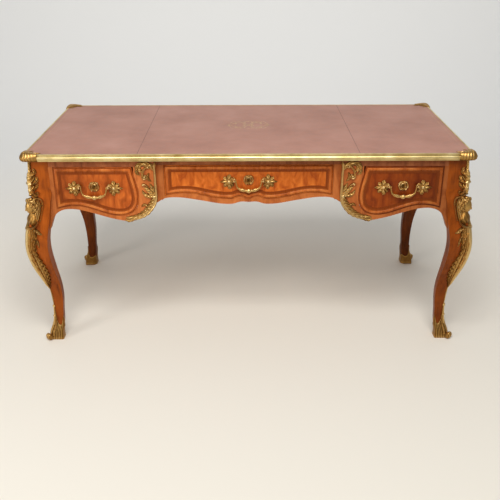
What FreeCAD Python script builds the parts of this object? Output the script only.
import FreeCAD, Part
import math
import os
from FreeCAD import Vector

# Flat writing table with three drawers, four curved legs and gilt mounts.
# Origin on the floor under the middle of the table. X runs along the front,
# Y from the front to the back, Z up. The drawers open towards -Y. Millimetres.

# Overall sizes
height = 780.0
top_length = 1650.0
top_depth = 800.0
top_thickness = 26.0
overhang = 22.0

# Carcase
leg_square = 69.0
board = 30.0
centre_recess = 25.0
side_board = 22.0
top_rail_height = 26.0
kneehole_share = 0.4714
partition_thick = 30.0
dust_board = 10.0
stile_joint = 78.0
leg_stile = 14.0
wall_setback = 60.0
joint_lap = 20.0

# Legs
knee_swell = 33.0
leg_plain_height = 114.0
arris_radius = 6.0
eased_radius = 1.5
inner_round_share = 0.38
sabot_sole = 5.0

# Drawer fronts and their mouldings
front_thick = 22.0
drawer_gap = 1.2
stile_show = 62.0
side_opening_height = 191.0
centre_opening_height = 135.0
bead_width = 14.0
bead_proud = 5.5
hollow_width = 10.0
hollow_proud = 2.5
moulding_margin = 3.0

# Shaped lower edges
rail_show = 23.0
apron_swell = 46.0
centre_rail_show = 20.0
centre_swell = 24.0
side_apron_drop = 240.0
side_apron_swell = 52.0

# Drawer boxes and what guides them
box_back_clear = 104.0
box_side = 12.0
box_base = 6.0
base_lift = 4.0
box_sill_clear = 2.0
box_top_clear = 12.0
box_edge_clear = 3.0
run_gap = 0.3
guide_gap = 0.5
guide_width = 14.0
guide_height = 16.0
kicker_width = 20.0
kicker_gap = 1.5
lock_width = 56.0
lock_height = 44.0
lock_thick = 9.0
lock_drop = 3.0

# Handles and escutcheons
post_spread_share = 0.3462
post_radius = 5.0
post_length = 20.0
pivot_out = 14.0
bail_drop = 42.0
bail_shoulder = 26.0
bail_radius = 3.2
elbow_radius = 5.5
pin_radius = 2.0
pin_clear = 0.05
pin_end = 1.0
plate_thick = 3.0
plate_width_share = 0.6667
plate_height = 66.0
plate_outward = 17.0
plate_drop = 3.0
escutcheon_width = 36.0
escutcheon_height = 48.0
keyhole_radius = 2.6
keyhole_slot = 9.0
side_handle_drop = 76.0
centre_handle_drop = 60.0
handle_shift = 2.0

# Top
lip_width = 20.0
lip_thick = 3.0
lip_inner = 14.0
leather_inset = 12.0
leather_thick = 2.0
seam_gap = 0.8
seam_share = 0.491
clasp_reach = 64.0
clasp_band = 28.0
clasp_proud = 10.0
clasp_rise = 10.0
clasp_lap = 2.0

# Gilt mounts
scroll_thick = 8.0
scroll_width = 12.0
sabot_thick = 4.0
sabot_height = 62.0
toe_radius = 13.5
mount_radius = 30.0

# Side panels, and one overrun for all cuts
panel_margin = 24.0
overrun = 40.0
spline_step = 8.0

# Outline of a side drawer, from its top corner beside the kneehole, down and
# along the bottom to the leg. Across, 0 is the kneehole end and 1 the leg end.
# Down, 0 is the top edge and 1 the lowest point.
side_drawer_shares = [
    (0.0711, 0.0), (0.0376, 0.25), (0.0042, 0.53), (0.0094, 0.72), (0.0439, 0.86),
    (0.115, 0.96), (0.2455, 1.0), (0.3866, 0.965), (0.564, 0.865),
    (0.7314, 0.80), (0.8888, 0.812), (1.0, 0.865),
]
# Bottom of the centre drawer, from its corner to the middle. Across, 1 is the
# corner; up, shares of the swell above the lowest point.
centre_drawer_shares = [
    (1.0, 0.56), (0.85, 0.94), (0.75, 1.0), (0.61, 0.79), (0.475, 0.38),
    (0.35, 0.10), (0.24, 0.0), (0.165, 0.14), (0.105, 0.42), (0.055, 0.25), (0.0, 0.0),
]
# Lower edge of the apron under a side drawer. Across, 0 is the kneehole end
# and 1 the leg; up, shares of the apron's swell above its lowest point.
side_edge_shares = [
    (0.0, 1.52), (0.052, 1.06), (0.085, 0.67), (0.134, 0.35), (0.20, 0.11),
    (0.263, 0.0), (0.31, 0.04), (0.472, 0.35), (0.639, 0.79), (0.742, 1.01),
    (0.82, 1.09), (0.885, 1.05), (0.937, 0.90), (0.978, 0.63), (1.003, 0.33),
    (1.019, 0.02), (1.034, -0.32), (1.05, -0.70),
]
# Lower edge of the centre apron, from the side to the middle.
centre_edge_shares = [
    (1.0, 0.24), (0.965, 0.60), (0.91, 0.98), (0.82, 1.14), (0.70, 1.05), (0.59, 0.80),
    (0.47, 0.50), (0.35, 0.17), (0.235, 0.0), (0.16, 0.08), (0.095, 0.36), (0.04, 0.38), (0.0, 0.33),
]
# Lower edge of a side apron, from a leg to the middle.
side_apron_shares = [
    (1.065, -0.45), (1.03, -0.12), (0.985, 0.17), (0.93, 0.50), (0.84, 0.84), (0.72, 1.0),
    (0.56, 0.94), (0.38, 0.76), (0.18, 0.62), (0.0, 0.58),
]
# Leg sections: height above the floor, swell outward and width of the square.
leg_shares = [
    (1.0, 0.06, 1.0), (0.922, 0.24, 1.03), (0.852, 0.47, 1.06), (0.781, 0.73, 1.09),
    (0.719, 0.91, 1.07), (0.656, 1.0, 1.065), (0.594, 0.91, 1.04), (0.531, 0.66, 0.98),
    (0.469, 0.28, 0.86), (0.391, -0.22, 0.71), (0.3125, -0.49, 0.635), (0.242, -0.58, 0.575),
    (0.180, -0.58, 0.53), (0.125, -0.53, 0.535), (0.078, -0.34, 0.58),
    (0.0375, -0.06, 0.66), (0.0, 0.03, 0.70),
]
# Gilt mount down a leg: height, centre outward of the post's corner in swells,
# and radius, as shares of the plain leg height, the swell and the mount radius.
foliage_shares = [
    (0.978, -0.12, 0.33), (0.955, -0.20, 0.50), (0.93, -0.24, 0.85), (0.90, -0.20, 0.88),
    (0.87, -0.18, 0.82), (0.845, -0.12, 0.86), (0.815, -0.21, 0.74), (0.78, -0.10, 0.70),
    (0.75, -0.12, 0.70),
]
bust_shares = [
    (0.75, -0.12, 0.70), (0.722, -0.10, 0.80), (0.696, 0.0, 0.85), (0.682, 0.11, 0.95),
    (0.667, 0.36, 1.05), (0.637, 0.44, 1.0), (0.600, 0.53, 1.0), (0.57, 0.51, 0.97),
    (0.493, 0.35, 0.93), (0.407, -0.17, 0.85), (0.358, -0.36, 0.70), (0.328, -0.39, 0.50),
    (0.308, -0.39, 0.25), (0.298, -0.40, 0.12),
]
head_height_share = 0.772
head_radius_share = 1.10
head_out_share = 0.08
# Spike of a gilt shoe up the corner of the leg, by the same shares
spike_shares = [
    (0.070, -0.30, 0.36), (0.110, -0.48, 0.29), (0.155, -0.55, 0.21), (0.190, -0.58, 0.14),
    (0.217, -0.58, 0.06),
]

# The scroll mount beside the kneehole: how far it has run along the edge, and
# how wide it is there, in scroll widths.
scroll_shares = [
    (0.0, 0.75), (0.06, 1.25), (0.14, 0.75), (0.28, 0.60), (0.40, 1.15),
    (0.50, 1.90), (0.60, 0.65), (0.74, 0.55), (0.86, 1.30), (0.94, 1.9), (1.0, 1.6),
]

# Worked out from the sizes above
frame_top = height - top_thickness
leg_x = top_length / 2 - overhang
leg_y = top_depth / 2 - overhang
bay_outer = leg_x - leg_square
side_bay = leg_y - leg_square
knee_x = bay_outer * kneehole_share
stile_x = knee_x + stile_joint
recess_y = leg_y - centre_recess
opening_top = frame_top - top_rail_height
side_low = opening_top - side_opening_height
centre_low = opening_top - centre_opening_height
opening_inner = knee_x + stile_show
opening_outer = bay_outer - leg_stile
side_opening_width = opening_outer - opening_inner
post_spread = side_opening_width * post_spread_share
plate_width = post_spread * plate_width_share
seam_place = top_length / 2 * seam_share
centre_half = knee_x - partition_thick
inner_depth = leg_y - board
box_length = 2 * leg_y - front_thick - board - box_back_clear
moulding_width = bead_width + hollow_width
side_sill = side_low + max(1 - down for across, down in side_drawer_shares[4:]) * side_opening_height
centre_sill = centre_low + centre_swell
side_box_low = side_sill + box_sill_clear
centre_box_low = centre_sill + box_sill_clear
box_high = opening_top - box_top_clear
side_box_inner = opening_inner + side_drawer_shares[0][0] * side_opening_width + box_edge_clear
side_box_outer = opening_outer - box_edge_clear
centre_box_half = centre_half - box_edge_clear
side_handle_x = (side_box_inner + side_box_outer) / 2 - handle_shift
side_handle_z = opening_top - side_handle_drop
centre_handle_z = opening_top - centre_handle_drop

# Cast edge of the top: in from the outer edge as shares of the lip's width, and
# down from the top as shares of the top's thickness. A fillet, a hollow, a
# round nose and a small step.
lip_edge_shares = [
    (0.30, 0.0), (0.22, 0.05), (0.22, 0.13), (0.27, 0.21), (0.25, 0.30), (0.12, 0.36),
    (0.03, 0.46), (0.0, 0.58), (0.03, 0.70), (0.12, 0.82), (0.21, 0.88), (0.21, 1.0),
]

# Leafy edge of a handle plate and an escutcheon: reach around each lobe
plate_lobes = 5
plate_scallop_shares = [1.0, 0.84, 0.68, 0.84]

nodes = {}


def box(x0, x1, y0, y1, z0, z1):
    low = Vector(min(x0, x1), min(y0, y1), min(z0, z1))
    return Part.makeBox(abs(x1 - x0), abs(y1 - y0), abs(z1 - z0), low)


def flip_x(shape):
    return shape.mirror(Vector(0, 0, 0), Vector(1, 0, 0))


def flip_y(shape):
    return shape.mirror(Vector(0, 0, 0), Vector(0, 1, 0))


def spline(points):
    curve = Part.BSplineCurve()
    curve.interpolate(points)
    return curve.toShape()


def lines(points):
    return [Part.makeLine(a, b) for a, b in zip(points, points[1:])]


def face_of(edges):
    return Part.Face(Part.Wire(Part.__sortEdges__(edges)))


def inset(face, distance):
    """The outline drawn in by a distance, its curves as plain splines."""
    moved = []
    for edge in face.makeOffset2D(-distance, join=2).OuterWire.Edges:
        straight = edge.Curve.TypeId == "Part::GeomLine" or edge.Length < spline_step
        points = edge.discretize(math.ceil(edge.Length / spline_step) + 2)
        moved.append(Part.makeLine(points[0], points[-1]) if straight else spline(points))
    return face_of(moved)


def slab(face, front, thickness):
    """A face drawn at Y = 0 made into a board whose front is at Y = front."""
    solid = face.extrude(Vector(0, thickness, 0))
    solid.translate(Vector(0, front, 0))
    return solid


def save(name, shape):
    nodes[name] = shape


# Outlines in the XZ plane, drawn at Y = 0, for the right-hand half
def side_opening():
    run = [Vector(opening_inner + across * side_opening_width, 0,
                  opening_top - down * side_opening_height)
           for across, down in side_drawer_shares]
    corner = Vector(opening_outer, 0, opening_top)
    return face_of([spline(run)] + lines([run[-1], corner, run[0]]))


def centre_opening():
    half = [Vector(across * centre_half, 0, centre_low + up * centre_swell)
            for across, up in centre_drawer_shares]
    run = half + [Vector(-p.x, 0, p.z) for p in reversed(half[:-1])]
    left = Vector(-centre_half, 0, opening_top)
    right = Vector(centre_half, 0, opening_top)
    return face_of([spline(run)] + lines([run[-1], left, right, run[0]]))


def side_edge_run():
    width = bay_outer - knee_x
    low = side_low - rail_show
    return [Vector(knee_x + across * width, 0, low + up * apron_swell)
            for across, up in side_edge_shares]


def centre_edge_run():
    low = centre_low - centre_rail_show
    half = [Vector(across * knee_x, 0, low + up * centre_swell)
            for across, up in centre_edge_shares]
    return half + [Vector(-p.x, 0, p.z) for p in reversed(half[:-1])]


def side_board_face(top):
    run = side_edge_run()
    outer = Vector(run[-1].x + joint_lap, 0, run[-1].z)
    return face_of([spline(run)] + lines([run[-1], outer, Vector(outer.x, 0, top),
                                          Vector(run[0].x, 0, top), run[0]]))


def centre_board_face(top):
    run = centre_edge_run()
    left = Vector(-knee_x, 0, top)
    right = Vector(knee_x, 0, top)
    return face_of([spline(run)] + lines([run[-1], left, right, run[0]]))


def side_apron_face():
    low = frame_top - side_apron_drop
    half = [Vector(0, across * side_bay, low + up * side_apron_swell)
            for across, up in side_apron_shares]
    run = half + [Vector(0, -p.y, p.z) for p in reversed(half[:-1])]
    ends = [run[-1], Vector(0, run[-1].y, frame_top), Vector(0, run[0].y, frame_top), run[0]]
    return face_of([spline(run)] + lines(ends))


# Legs, for the corner at +X, +Y
def square_wire(swell, width, level, inner_radius):
    """A square section with a radius at its inner corner and its outer corner eased."""
    high_x, high_y = leg_x + swell, leg_y + swell
    low_x, low_y = high_x - width, high_y - width
    corners = [(low_x, low_y, 1, 1, inner_radius), (high_x, low_y, -1, 1, eased_radius),
               (high_x, high_y, -1, -1, arris_radius), (low_x, high_y, 1, -1, eased_radius)]
    points = []
    for i, (x, y, sx, sy, r) in enumerate(corners):
        along_x = Vector(x + sx * r, y, level)
        along_y = Vector(x, y + sy * r, level)
        middle = Vector(x + sx * r * (1 - math.sqrt(0.5)), y + sy * r * (1 - math.sqrt(0.5)), level)
        points.append((along_y, middle, along_x) if i % 2 == 0 else (along_x, middle, along_y))
    edges = []
    for i, (start, middle, end) in enumerate(points):
        edges.append(Part.Arc(start, middle, end).toShape())
        edges.append(Part.makeLine(end, points[(i + 1) % 4][0]))
    return Part.Wire(edges)


def make_leg():
    plain_low = frame_top - leg_plain_height
    rows = [(sabot_sole + up * (plain_low - sabot_sole), swell * knee_swell, wide * leg_square)
            for up, swell, wide in leg_shares]
    wires = [square_wire(swell, wide, level, wide * inner_round_share)
             for level, swell, wide in rows]
    curved = Part.makeLoft(wires, True, False)
    top = square_wire(0.0, leg_square, frame_top, eased_radius)
    middle = square_wire(0.0, leg_square, rows[0][0] + leg_square, eased_radius)
    first = wires[0]
    plain = Part.makeLoft([middle, top], True, True)
    neck = Part.makeLoft([first, middle], True, True)
    return biggest(curved.fuse([neck, plain]))


def round_wire(level, outward, radius):
    centre = Vector(leg_x + outward, leg_y + outward, level)
    return Part.Wire(Part.makeCircle(radius, centre))


def mount_loft(shares):
    wires = []
    for up, outward, wide in shares:
        level = up * frame_top
        wires.append(round_wire(level, outward * knee_swell, wide * mount_radius))
    return Part.makeLoft(wires, True, False)


def make_leg_mount(leg):
    head_level = head_height_share * frame_top
    head_out = head_out_share * knee_swell
    head = Part.makeSphere(head_radius_share * mount_radius,
                           Vector(leg_x + head_out, leg_y + head_out, head_level))
    solid = mount_loft(foliage_shares).fuse([head, mount_loft(bust_shares)])
    return biggest(solid.cut(leg))


def biggest(shape):
    return max(shape.Solids, key=lambda solid: solid.Volume)


def make_sabot(leg):
    """A cast shoe round the foot: a cuff, a rolled toe and a spike up the corner."""
    sole_wide = leg_shares[-1][2] * leg_square + 2 * sabot_thick
    cuff_wide = leg_shares[-3][2] * leg_square + 2 * sabot_thick
    sole_swell = leg_shares[-1][1] * knee_swell + sabot_thick
    cuff_swell = leg_shares[-3][1] * knee_swell + sabot_thick
    rows = [(sole_swell, sole_wide, 0.0),
            (sole_swell - sabot_thick / 2, sole_wide - sabot_thick / 2, sabot_height / 3),
            (cuff_swell, cuff_wide, sabot_height)]
    wires = [square_wire(swell, wide, level, wide * inner_round_share)
             for swell, wide, level in rows]
    cuff = Part.makeLoft(wires, True, False)
    toe_centre = Vector(leg_x + sole_swell, leg_y + sole_swell, toe_radius)
    toe = Part.makeSphere(toe_radius, toe_centre)
    return biggest(cuff.fuse([toe, mount_loft(spike_shares)]).cut(leg))


# The scroll mount follows the side board's edge, just inside it
def scroll_line():
    half = scroll_width / 2
    run = side_edge_run()[:7]
    rise = Part.LineSegment(Vector(run[0].x, 0, opening_top + top_rail_height / 2),
                            Vector(run[0].x, 0, run[0].z + scroll_width))
    curve = Part.BSplineCurve()
    curve.interpolate(run)
    points = rise.discretize(9) + curve.discretize(14)
    return offset_run(points, half)


def offset_run(points, distance):
    """Moves an open run of points sideways, to its left along the run."""
    moved = []
    for i, point in enumerate(points):
        before = points[max(i - 1, 0)]
        after = points[min(i + 1, len(points) - 1)]
        along = (after - before).normalize()
        moved.append(point + Vector(-along.z, 0, along.x) * distance)
    return moved


def wide_at(share, shares):
    for (a, wide_a), (b, wide_b) in zip(shares, shares[1:]):
        if share <= b:
            return wide_a + (wide_b - wide_a) * (share - a) / (b - a)
    return shares[-1][1]


def make_scroll_mount():
    line = scroll_line()
    half = scroll_width / 2
    outer = offset_run(line, -half)
    inner = []
    for i, point in enumerate(line):
        share = i / (len(line) - 1)
        across = (line[i] - outer[i]).normalize()
        inner.append(point + across * (wide_at(share, scroll_shares) * scroll_width - half))
    edges = [spline(outer), spline(inner)] + lines([outer[0], inner[0]]) + lines([outer[-1], inner[-1]])
    return slab(face_of(edges), -leg_y - scroll_thick, scroll_thick)


# Top
def lip_profile():
    """Depth in from the outer edge and height, for the cast edge of the top."""
    outer = [(inward * lip_width, height - down * top_thickness) for inward, down in lip_edge_shares]
    ledge = height - lip_thick
    inner = [(lip_inner, frame_top), (lip_inner, ledge), (leather_inset, ledge)]
    return [(leather_inset, height)] + outer + inner


def edge_length(half_long, half_deep):
    """One length of the edge with mitred ends, along X at the front."""
    ends = []
    for side in (-1, 1):
        ring = [Vector(side * (half_long - inward), -(half_deep - inward), level)
                for inward, level in lip_profile()]
        ends.append(Part.makePolygon(ring + ring[:1]))
    return Part.makeLoft(ends, True, True)


def quarter_turn(shape):
    turned = shape.copy()
    turned.rotate(Vector(0, 0, 0), Vector(0, 0, 1), 90)
    return turned


def make_edge():
    front = edge_length(top_length / 2, top_depth / 2)
    right = quarter_turn(edge_length(top_depth / 2, top_length / 2))
    return Part.makeCompound([front, flip_y(front), right, flip_x(right)])


def make_clasp():
    """A corner clasp at +X, -Y that wraps the edge of the top."""
    x, y = top_length / 2, top_depth / 2
    low = frame_top - clasp_lap
    top = height + clasp_rise
    outer = box(x + clasp_proud - clasp_reach, x + clasp_proud,
                -y - clasp_proud, -y - clasp_proud + clasp_reach, low, top)
    open_below = box(0, x - lip_inner, 0, -y + lip_inner, low - overrun, frame_top)
    inner = box(0, x, 0, -y, frame_top, height)
    window = box(0, x - clasp_band, 0, -y + clasp_band, frame_top, top + overrun)
    clasp = outer.cut(open_below.fuse([inner, window]))
    edges = [edge for edge in clasp.Edges if upright_at(edge, x + clasp_proud, -y - clasp_proud)]
    clasp = clasp.makeFillet(clasp_proud * 1.5, edges)
    return biggest(clasp)


def upright_at(edge, x, y):
    middle = edge.CenterOfMass
    size = edge.BoundBox
    near = clasp_proud / 2
    return abs(middle.x - x) < near and abs(middle.y - y) < near and size.ZLength > clasp_proud


def four_corners(shape):
    right = [shape, flip_y(shape)]
    return Part.makeCompound(right + [flip_x(one) for one in right])


# Handles, drawn for a drawer whose front is at Y = front
def make_plate(centre_x, pivot_z, front, side):
    """A leaf-shaped plate with an eyed post. side is -1 or 1, the leaf points that way."""
    post_x = centre_x + side * post_spread / 2
    middle_x = post_x + side * plate_outward
    middle_z = pivot_z - plate_drop
    points = []
    for i in range(4 * plate_lobes):
        turn = 2 * math.pi * i / (4 * plate_lobes)
        grow = plate_scallop_shares[i % 4]
        points.append(Vector(middle_x + side * grow * plate_width / 2 * math.cos(turn), 0,
                             middle_z + grow * plate_height / 2 * math.sin(turn)))
    curve = Part.BSplineCurve()
    curve.interpolate(points, PeriodicFlag=True)
    plate = slab(Part.Face(Part.Wire(curve.toShape())), front - plate_thick, plate_thick)
    post = Part.makeCylinder(post_radius, post_length, Vector(post_x, front, pivot_z), Vector(0, -1, 0))
    bore = Part.makeCylinder(pin_radius + pin_clear, overrun,
                             Vector(post_x - overrun / 2, pivot_y(front), pivot_z), Vector(1, 0, 0))
    return biggest(plate.fuse(post).cut(bore))


def pivot_y(front):
    return front - pivot_out


def make_escutcheon(centre_x, centre_z, front):
    ring = []
    for i in range(4 * plate_lobes):
        turn = 2 * math.pi * i / (4 * plate_lobes)
        grow = plate_scallop_shares[(i + 1) % 4]
        ring.append(Vector(centre_x + grow * escutcheon_width / 2 * math.cos(turn), 0,
                           centre_z + grow * escutcheon_height / 2 * math.sin(turn)))
    curve = Part.BSplineCurve()
    curve.interpolate(ring, PeriodicFlag=True)
    plate = slab(Part.Face(Part.Wire(curve.toShape())), front - plate_thick, plate_thick)
    return plate.cut(keyhole(centre_x, centre_z, front))


def keyhole(centre_x, centre_z, front):
    round_part = Part.makeCylinder(keyhole_radius, 2 * overrun,
                                   Vector(centre_x, front - overrun, centre_z), Vector(0, 1, 0))
    slot = box(centre_x - keyhole_radius / 2, centre_x + keyhole_radius / 2,
               front - overrun, front + overrun, centre_z - keyhole_slot, centre_z)
    return round_part.fuse(slot)


def make_bail(centre_x, pivot_z, front):
    """A hanging U of round rod with a pin at each end that turns in a post."""
    y = pivot_y(front)
    rod_start = post_spread / 2 - post_radius - run_gap
    half = rod_start - elbow_radius
    shoulder_z = pivot_z - elbow_radius
    drop = bail_drop - elbow_radius
    ratio = (drop - bail_shoulder) / (half - bail_shoulder)
    turn = math.pi / 2 - 2 * math.atan(ratio)
    grow = (half - bail_shoulder) / math.cos(turn)
    bottom = bail_shoulder + grow

    def at(x, z):
        return Vector(centre_x + x, y, z)

    def shoulder(angle):
        return at(half - bail_shoulder + bail_shoulder * math.cos(angle),
                  shoulder_z - bail_shoulder * math.sin(angle))

    def belly(angle):
        return at(bottom * math.cos(angle), shoulder_z + grow * math.sin(turn) - bottom * math.sin(angle))

    def elbow(angle):
        return at(half + elbow_radius - elbow_radius * math.sin(angle),
                  shoulder_z + elbow_radius * math.cos(angle))

    right = [Part.Arc(elbow(0.0), elbow(math.pi / 4), elbow(math.pi / 2)).toShape(),
             Part.Arc(shoulder(0.0), shoulder(turn / 2), shoulder(turn)).toShape()]
    low = Part.Arc(belly(turn), belly(math.pi / 2), belly(math.pi - turn)).toShape()
    left = [edge.mirror(at(0, 0), Vector(1, 0, 0)) for edge in right]
    path = Part.Wire(Part.__sortEdges__(right + [low] + left))
    start = at(rod_start, pivot_z)
    section = Part.Wire(Part.makeCircle(bail_radius, start, Vector(1, 0, 0)))
    rod = path.makePipeShell([section], True, False)
    pin_length = 2 * post_radius + run_gap + pin_end
    pins = [Part.makeCylinder(pin_radius, pin_length + bail_radius,
                              at(side * (rod_start - bail_radius), pivot_z), Vector(side, 0, 0))
            for side in (-1, 1)]
    print("bail volume", rod.Volume, "section times length", math.pi * bail_radius ** 2 * path.Length)
    return biggest(rod.fuse(pins))


# A drawer: its front, moulding, box, lock and handles
def make_moulding(outline):
    outer = inset(outline, drawer_gap + moulding_margin)
    middle = inset(outline, drawer_gap + moulding_margin + bead_width)
    inner = inset(outline, drawer_gap + moulding_margin + moulding_width)
    bead = outer.cut(middle)
    hollow = middle.cut(inner)
    return bead, hollow


def save_drawer(name, opening, front, low, x0, x1, handle_x, handle_z, mirrored):
    def put(part, shape):
        save(name + "_" + part, flip_x(shape) if mirrored else shape)

    panel = slab(inset(opening, drawer_gap), front, front_thick)
    hole = keyhole(handle_x, handle_z, front)
    put("front", panel.cut(hole))
    bead, hollow = make_moulding(opening)
    ring = slab(bead, front - bead_proud, bead_proud).fuse(slab(hollow, front - hollow_proud, hollow_proud))
    put("moulding", biggest(ring))
    y0 = front + front_thick
    y1 = y0 + box_length
    sides = [box(x0, x0 + box_side, y0, y1, low, box_high),
             box(x1 - box_side, x1, y0, y1, low, box_high)]
    put("sides", Part.makeCompound(sides))
    put("back", box(x0 + box_side, x1 - box_side, y1 - box_side, y1, low + base_lift, box_high))
    put("base", box(x0 + box_side, x1 - box_side, y0, y1 - box_side, low + base_lift,
                    low + base_lift + box_base))
    lock_top = opening_top - drawer_gap - lock_drop
    lock = box(handle_x - lock_width / 2, handle_x + lock_width / 2, y0, y0 + lock_thick,
               lock_top - lock_height, lock_top)
    put("lock", lock)
    fittings = [make_plate(handle_x, handle_z, front, side) for side in (-1, 1)]
    fittings.append(make_escutcheon(handle_x, handle_z, front))
    put("handle_plates", Part.makeCompound(fittings))
    put("bail", make_bail(handle_x, handle_z, front))


# Build
leg = make_leg()
leg_mount = make_leg_mount(leg)
sabot = make_sabot(leg)
corners = {"back_right": lambda s: s, "front_right": flip_y,
           "back_left": flip_x, "front_left": lambda s: flip_x(flip_y(s))}
for place, move in corners.items():
    save("leg_" + place, move(leg))
    save("leg_mount_" + place, move(leg_mount))
save("sabots", Part.makeCompound([move(sabot) for move in corners.values()]))
front_leg = flip_y(leg)

side_board_front = slab(side_board_face(opening_top), -leg_y, board)
side_board_front = side_board_front.cut(slab(side_opening(), -leg_y - overrun, board + 2 * overrun))
side_board_front = side_board_front.cut(front_leg)
stile_zone = box(0, stile_x, -leg_y - overrun, 0, 0, height)
stile = biggest(side_board_front.common(stile_zone))
rail = biggest(side_board_front.cut(stile_zone))
centre_rail = slab(centre_board_face(centre_sill), -recess_y, board)
centre_rail = biggest(centre_rail.cut(slab(centre_opening(), -leg_y, 2 * board)))
rail_points = [Vector(bay_outer, -leg_y, opening_top), Vector(knee_x, -leg_y, opening_top),
               Vector(knee_x, -recess_y, opening_top), Vector(-knee_x, -recess_y, opening_top),
               Vector(-knee_x, -leg_y, opening_top), Vector(-bay_outer, -leg_y, opening_top),
               Vector(-bay_outer, -inner_depth, opening_top),
               Vector(-knee_x + board, -inner_depth, opening_top),
               Vector(-knee_x + board, board - recess_y, opening_top),
               Vector(knee_x - board, board - recess_y, opening_top),
               Vector(knee_x - board, -inner_depth, opening_top),
               Vector(bay_outer, -inner_depth, opening_top)]
top_rail = Part.Face(Part.makePolygon(rail_points + rail_points[:1])).extrude(Vector(0, 0, top_rail_height))
save("front_top_rail", top_rail)
save("front_centre_rail", centre_rail)
save("front_stile_right", stile)
save("front_stile_left", flip_x(stile))
save("front_rail_right", rail)
save("front_rail_left", flip_x(rail))

back_side = slab(side_board_face(frame_top), leg_y - board, board).cut(leg)
back_centre = slab(centre_board_face(frame_top), recess_y - board, board)
save("back_panel_right", biggest(back_side))
save("back_panel_left", flip_x(biggest(back_side)))
save("back_panel_centre", back_centre)

apron = side_apron_face().extrude(Vector(-side_board, 0, 0))
apron.translate(Vector(leg_x, 0, 0))
apron = biggest(apron.cut(leg.fuse(front_leg)))
save("side_apron_right", apron)
save("side_apron_left", flip_x(apron))

side_board_top = side_box_low - run_gap
centre_board_top = centre_box_low - run_gap
centre_inner = recess_y - board
wall_reach = inner_depth - wall_setback
partition = slab(centre_board_face(frame_top), -recess_y, recess_y + centre_inner)
partition = partition.common(box(centre_half, knee_x, -leg_y, leg_y, 0, frame_top))
lower_wall = box(knee_x - partition_thick / 2, knee_x, -wall_reach, wall_reach,
                 side_board_top - dust_board, centre_low)
partition = biggest(partition.fuse(lower_wall).cut(centre_rail.fuse(top_rail)))
save("partition_right", partition)
save("partition_left", flip_x(partition))

both_legs = leg.fuse(front_leg)
side_dust = box(knee_x, leg_x - side_board, -inner_depth, inner_depth,
                side_board_top - dust_board, side_board_top)
notch = box(knee_x, knee_x + partition_thick, wall_reach, inner_depth, 0, frame_top)
side_dust = biggest(side_dust.cut([both_legs, notch, flip_y(notch)]))
save("dust_board_right", side_dust)
save("dust_board_left", flip_x(side_dust))
save("dust_board_centre", box(-centre_half, centre_half, -centre_inner, centre_inner,
                              centre_board_top - dust_board, centre_board_top))

guides = []
for x0, reach in ((side_box_inner - guide_gap - guide_width, inner_depth),
                  (side_box_outer + guide_gap, side_bay)):
    guide = box(x0, x0 + guide_width, -reach, reach, side_board_top, side_board_top + guide_height)
    guide = biggest(guide.cut(both_legs))
    guides += [guide, flip_x(guide)]
save("drawer_guides", Part.makeCompound(guides))

kickers = []
for x0, reach in ((side_box_inner, inner_depth), (side_box_outer - kicker_width, inner_depth),
                  (centre_box_half - kicker_width, centre_inner)):
    kicker = box(x0, x0 + kicker_width, -reach, reach, box_high + kicker_gap, frame_top)
    kickers += [kicker, flip_x(kicker)]
save("drawer_kickers", Part.makeCompound(kickers))

lip_x, lip_y = top_length / 2, top_depth / 2
save("top_panel", box(lip_inner - lip_x, lip_x - lip_inner, lip_inner - lip_y, lip_y - lip_inner,
                      frame_top, height - lip_thick))
save("top_edge", make_edge())
leather_low = height - lip_thick
leather_x, leather_y = lip_x - leather_inset, lip_y - leather_inset
seam = seam_gap / 2
for name, x0, x1 in (("left", -leather_x, -seam_place - seam),
                     ("centre", seam - seam_place, seam_place - seam),
                     ("right", seam_place + seam, leather_x)):
    save("leather_" + name, box(x0, x1, -leather_y, leather_y, leather_low, leather_low + leather_thick))
save("top_corner_clasps", four_corners(make_clasp()))
save("scroll_mounts", four_corners(make_scroll_mount()))

side_hole = side_opening()
centre_hole = centre_opening()
rings = []
for outline, front in ((side_hole, leg_y), (centre_hole, recess_y)):
    bead, hollow = make_moulding(outline)
    ring = slab(bead, front, bead_proud).fuse(slab(hollow, front, hollow_proud))
    rings.append(biggest(ring))
save("back_mouldings", Part.makeCompound(rings + [flip_x(rings[0])]))

panel = side_apron_face().common(box(-overrun, overrun, -side_bay, side_bay, 0, opening_top)).Faces[0]
ring = inset(panel, panel_margin).cut(inset(panel, panel_margin + bead_width))
ring = biggest(ring.extrude(Vector(bead_proud, 0, 0)))
ring.translate(Vector(leg_x, 0, 0))
save("side_mouldings", Part.makeCompound([ring, flip_x(ring)]))

for name, mirrored in (("drawer_left", True), ("drawer_right", False)):
    save_drawer(name, side_hole, -leg_y, side_box_low, side_box_inner, side_box_outer,
                side_handle_x, side_handle_z, mirrored)
save_drawer("drawer_centre", centre_hole, -recess_y, centre_box_low, -centre_box_half,
            centre_box_half, 0.0, centre_handle_z, False)

os.makedirs("parts", exist_ok=True)
for name, shape in nodes.items():
    shape.exportStep("parts/" + name + ".step")
print(len(nodes), "nodes")
